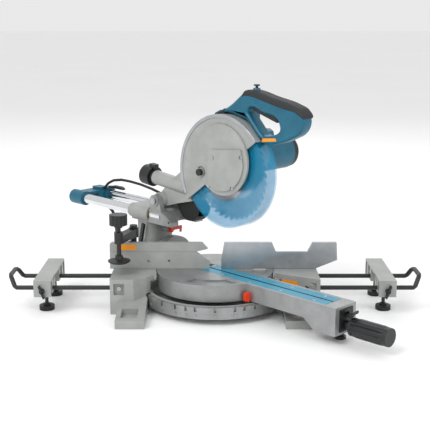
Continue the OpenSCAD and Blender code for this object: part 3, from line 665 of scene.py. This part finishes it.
@dataclass
class Turntable:
    """Turning table with kerf strips, lever and grip. Sizes in millimetres."""

    screw_radius: float = 3.6
    screw_rows: tuple[float, ...] = (-20.0, 45.0, 125.0, 215.0, 305.0)
    screw_offset: float = 18.0
    screw_seat: float = 79.8
    flap_place: Triple = (15.0, -31.0, 79.6)
    flap_size: Triple = (18.0, 14.0, 1.2)
    grip_radius: float = 20.0
    grip_height: float = 39.0
    grip_ribs: int = 10

    def screws(self) -> bpy.types.Mesh:
        """Countersunk screws of the kerf strips.

        Returns:
            One mesh with every screw.
        """
        rim = self.screw_radius
        dome = [(0.0, rim), (0.25, rim), (0.5, rim * 0.8), (0.55, 1.4), (0.2, 1.1)]
        made = []
        for forward in self.screw_rows:
            for across in (-self.screw_offset, self.screw_offset):
                place = Matrix.Translation(on_arm(across, forward, self.screw_seat))
                made.append(turned(dome, place, steps=24))
        return merged(made, "kerf_screws")

    def ribbed_wall(self, angle: float, height: float) -> float:
        """Wall factor of the grip, grooved between its ends.

        Args:
            angle: Angle round the grip, in radians.
            height: Distance along it, in millimetres.

        Returns:
            Factor on the radius.
        """
        if not 400 < height < 474:
            return 1.0
        return 1 - 0.13 * max(0.0, math.cos(self.grip_ribs * angle)) ** 3

    def grip(self) -> bpy.types.Mesh:
        """Ribbed grip at the end of the arm.

        Returns:
            The grip's mesh.
        """
        r = self.grip_radius
        profile = [
            (376, 9.0), (386, 9.5), (388, 12.0), (394, 13.0), (396, 15.5), (400, r - 1.5), (406, r),
            (462, r), (470, r - 0.8), (476, r - 3.0), (479, r - 7.0), (480, r - 12.0),
        ]
        place = upright(on_arm(0, 0, self.grip_height), on_arm(0, 1, 0).normalized())
        return turned(profile, place, self.ribbed_wall, 160)

    def build(self) -> None:
        """Dresses the table and adds screws and grip."""
        dress(
            {
                "turntable": MACHINED_CASTING,
                "kerf_boards": BLUE_STRIP,
                "mitre_pointer": RED_ENAMEL,
                "arm_end_plate": BLACK_NYLON,
                "mitre_grip": BLACK_NYLON,
                "detent_lever": BLACK_POWDER,
                "front_foot": BLACK_NYLON,
            }
        )
        keep(self.screws(), "kerf_screws", TURNED_STEEL, "turntable")
        w, h = self.flap_size[0] / 2, self.flap_size[1] / 2
        place = Matrix.Translation(on_arm(*self.flap_place)) @ Matrix.Rotation(MITRE, 4, "Z")
        flap = rounded_plate([[(-w, -h), (w, -h), (w, h), (-w, h)]], self.flap_size[2], 0.3, place, False)
        keep(flap, "kerf_flap", RUBBER, "turntable")
        keep(self.grip(), "arm_grip", BLACK_NYLON, "mitre_grip")
        log.info("turntable done")


@dataclass
class Slide:
    """Bevel arm, rails and the holder behind them. Sizes in millimetres."""

    rail_half: float = 40.0
    clip_thick: float = 12.0
    clip_outline: tuple[Pair, ...] = (
        (-430, 207), (-371, 207), (-373, 211), (-380, 214.5), (-409, 214.5), (-414, 212), (-430, 211),
    )

    def guide(self) -> bpy.types.Mesh:
        """Clip over the far rail, on a tongue of the holder and clear of the slide block.

        Returns:
            The clip's mesh.
        """
        return rounded_plate([self.clip_outline], self.clip_thick, 2.0, side_frame(self.rail_half), False)

    def build(self) -> None:
        """Dresses the slide and adds the clip."""
        dress(
            {
                "bevel_column": ENAMELLED_CASTING,
                "slide_bushings": SINTERED_BRONZE,
                "bevel_stop_lever": RED_ENAMEL,
                "bevel_lock_lever": BLACK_POWDER,
                "slide_rails": HARD_CHROME,
                "rear_holder": TEAL_NYLON,
                "front_bracket": MACHINED_CASTING,
                "head_pivot_pin": TURNED_STEEL,
            }
        )
        keep(self.guide(), "lead_clip", BLACK_NYLON, "carriage")
        log.info("slide done")


@dataclass
class Head:
    """Blade case, cover, chute, motor and handle. Sizes in millimetres."""

    button_forward: float = 124.0
    button_bore_radius: float = 3.15
    blade_centre: Pair = (48.5, 311.0)
    rim_radii: Pair = (121.5, 129.4)
    rim_span: Pair = (38.0, 208.0)
    rim_steps: int = 60
    handle_thick: float = 32.0
    handle_outer: tuple[Pair, ...] = (
        (11, 435), (34, 446), (60, 460), (92, 484), (104, 492), (118, 494.5), (176, 483), (236, 470),
        (256, 460), (263, 446), (262, 428), (250, 412), (236, 404), (196, 389), (153, 386), (138, 398),
        (110, 429), (86, 436), (60, 442), (36, 441),
    )
    handle_open: tuple[Pair, ...] = (
        (111, 450), (118, 458), (154, 449), (190, 441), (198, 430), (200, 418), (194, 411), (172, 403),
        (158, 402), (149, 408), (133, 424), (117, 442),
    )
    grip_outline: tuple[Pair, ...] = (
        (95, 479), (99, 490), (106, 494), (118, 495.2), (176, 483.8), (236, 470.8), (257, 460.8),
        (264.5, 446), (258, 447), (240, 455), (216, 459), (160, 471), (118, 480), (104, 480),
    )

    def button_bore(self) -> bpy.types.Mesh:
        """Tool that bores the hole of the lock-off button."""
        r = self.button_bore_radius
        return turned([(474, r), (503, r)], Matrix.Translation(on_arm(0, self.button_forward, 0)), steps=32)

    def handle(self) -> bpy.types.Mesh:
        """D-shaped handle with the web that joins it to the motor.

        Returns:
            The handle's mesh.
        """
        outlines = [self.handle_outer, self.handle_open]
        loop = rounded_plate(outlines, self.handle_thick, 7.0, side_frame(0))
        loop = cut(loop, self.button_bore())
        web = [(64, 385.3), (57, 400), (58, 440), (66, 456), (92, 474), (106, 456), (107, 430), (112, 385.3)]
        foot = [(64, 385.3), (61, 398), (67, 403.5), (98, 405.5), (107, 400), (111, 385.3)]
        side = rounded_plate([web], 15.6, 3.5, side_frame(24.2), False)
        shoe = rounded_plate([foot], 58, 3.5, side_frame(47), False)
        boss = turned(
            [(484, 8.0), (497, 8.0), (499, 7.0), (499.1, 4.0)],
            Matrix.Translation(on_arm(0, self.button_forward, 0)),
            steps=40,
        )
        return merged([loop, side, shoe, cut(boss, self.button_bore())], "handle_shell")

    def case_rim(self) -> bpy.types.Mesh:
        """Bright machined rim round the free edge of the blade case.

        Returns:
            The rim's mesh.
        """
        centre, steps = self.blade_centre, self.rim_steps
        inner, outer = self.rim_radii
        first, last = (math.radians(degree) for degree in self.rim_span)
        ring = []
        for radius, way in ((outer, 1), (inner, -1)):
            for i in range(steps + 1)[::way]:
                angle = first + (last - first) * i / steps
                ring.append((centre[0] + radius * math.cos(angle), centre[1] + radius * math.sin(angle)))
        return rounded_plate([ring], 3.0, 0.9, side_frame(-30.2), False)

    def root(self) -> bpy.types.Mesh:
        """Dark moulded end where the handle meets the blade case.

        Returns:
            The end's mesh.
        """
        outline = [(10, 432), (22, 441), (38, 447), (42, 451), (48, 446), (44, 440), (30, 438), (14, 430)]
        return rounded_plate([outline], 33.5, 2.0, side_frame(0), False)

    def build(self) -> None:
        """Dresses the head and makes the handle."""
        dress(
            {
                "head_casting": ENAMELLED_CASTING,
                "centre_cover": ENAMELLED_CASTING,
                "cover_screws": TURNED_STEEL,
                "dust_chute": RUBBER,
                "dust_nozzle": BLACK_NYLON,
                "motor_housing": TEAL_NYLON,
                "motor_cap": BLACK_NYLON,
                "handle": TEAL_NYLON,
                "soft_grip": OVERMOULD,
                "field_core": CORE_STEEL,
                "return_spring": TURNED_STEEL,
                "drive_belt": RUBBER,
                "trigger": BLACK_NYLON,
                "lock_off_button": BLACK_NYLON,
                "shaft_lock": BLACK_NYLON,
            }
        )
        shell = keep(self.handle(), "handle_shell", TEAL_NYLON, "head")
        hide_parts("handle")
        grip = cut(rounded_plate([self.grip_outline], 34, 5.0, side_frame(0)), self.button_bore())
        cover = keep(grip, "handle_grip", OVERMOULD, "head")
        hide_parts("soft_grip")
        keep(self.case_rim(), "case_rim", BARE_EXTRUSION, "head")
        keep(self.root(), "handle_root", BLACK_NYLON, "head")
        strip = [(154, 389.5), (194, 394.5), (192, 400.5), (156, 397)]
        film = rounded_plate([strip], 0.5, 0.1, side_frame(-16.1), False)
        keep(film, "handle_label", LABEL_FILM, "head")
        log.info("head done")


@dataclass
class Cutting:
    """Blade, drive and clear guard."""

    finishes: dict[str, Finish] = field(
        default_factory=lambda: {
            "saw_blade": GROUND_STEEL,
            "blade_flanges": TURNED_STEEL,
            "spindle": TURNED_STEEL,
            "driven_pulley": TURNED_STEEL,
            "armature": CORE_STEEL,
            "lower_guard": CLEAR_GUARD,
        }
    )

    def build(self) -> None:
        """Dresses the cutting parts."""
        dress(self.finishes)
        log.info("cutting parts done")


@dataclass
class Studio:
    """Camera, floor and soft light."""

    focal_mm: float = 75.77
    camera_place: Triple = (0.0, -1.9957, 0.654)
    pitch: float = 12.64
    floor_size: float = 60.0
    floor_gap: float = 0.0005
    sky_light: float = 0.82

    def camera(self) -> None:
        """Places the camera square to the fence and a little above it."""
        lens = bpy.data.cameras.new("camera")
        lens.lens = self.focal_mm
        lens.sensor_width = 36.0
        lens.clip_end = 60.0
        eye = bpy.data.objects.new("camera", lens)
        eye.location = self.camera_place
        eye.rotation_euler = (math.radians(90 - self.pitch), 0, 0)
        bpy.context.scene.collection.objects.link(eye)
        bpy.context.scene.camera = eye

    def light(self, name: str, place: Triple, size: float, power: float) -> None:
        """Adds a soft lamp aimed at the saw.

        Args:
            name: Its name.
            place: Where it hangs, in metres.
            size: Side of the lamp, in metres.
            power: Its power in watts.
        """
        data = bpy.data.lights.new(name, "AREA")
        data.size = size
        data.energy = power
        lamp = bpy.data.objects.new(name, data)
        lamp.location = place
        aim = Vector((0, 0, 0.2)) - Vector(place)
        lamp.rotation_euler = aim.to_track_quat("-Z", "Y").to_euler()
        bpy.context.scene.collection.objects.link(lamp)

    def build(self) -> None:
        """Makes the camera, the lamps, the sky and the floor."""
        self.camera()
        self.light("key", (-1.6, -1.8, 2.4), 1.4, 44)
        self.light("fill", (2.0, -1.6, 1.6), 1.6, 12)
        self.light("back", (0.2, 2.2, 2.2), 2.0, 16)
        world = bpy.data.worlds.new("studio")
        world.use_nodes = True
        tree = world.node_tree
        tree.nodes.clear()
        white = (1, 1, 1, 1)
        sky = add_node(tree, "ShaderNodeBackground", {}, {"Color": white, "Strength": self.sky_light})
        add_node(tree, "ShaderNodeOutputWorld", {}, {"Surface": sky.outputs[0]})
        bpy.context.scene.world = world
        bpy.context.scene.view_settings.view_transform = "Standard"
        half = self.floor_size / 2
        mesh = bpy.data.meshes.new("floor")
        z = -self.floor_gap
        corners = [(-half, -half, z), (half, -half, z), (half, half, z), (-half, half, z)]
        mesh.from_pydata(corners, [], [(0, 1, 2, 3)])
        floor = bpy.data.objects.new("floor", mesh)
        bpy.context.scene.collection.objects.link(floor)
        # White studio sweep: matt, so that it takes only a soft shadow
        sweep = Finish("studio_sweep", "#FBFBFB", "#F8F8F8", Surface.MOULDED, 0.9, 40.0, 0.001)
        mesh.materials.append(sweep.build())


def main() -> None:
    """Builds the studio and every sub-assembly in order."""
    logging.basicConfig(level=logging.INFO, format="%(message)s")
    Studio().build()
    for part in (Cable(), Base(), Clamp(), Supports(), Turntable(), Slide(), Head(), Cutting()):
        part.build()
    log.info("sizes written")


if __name__ == "__main__":
    main()
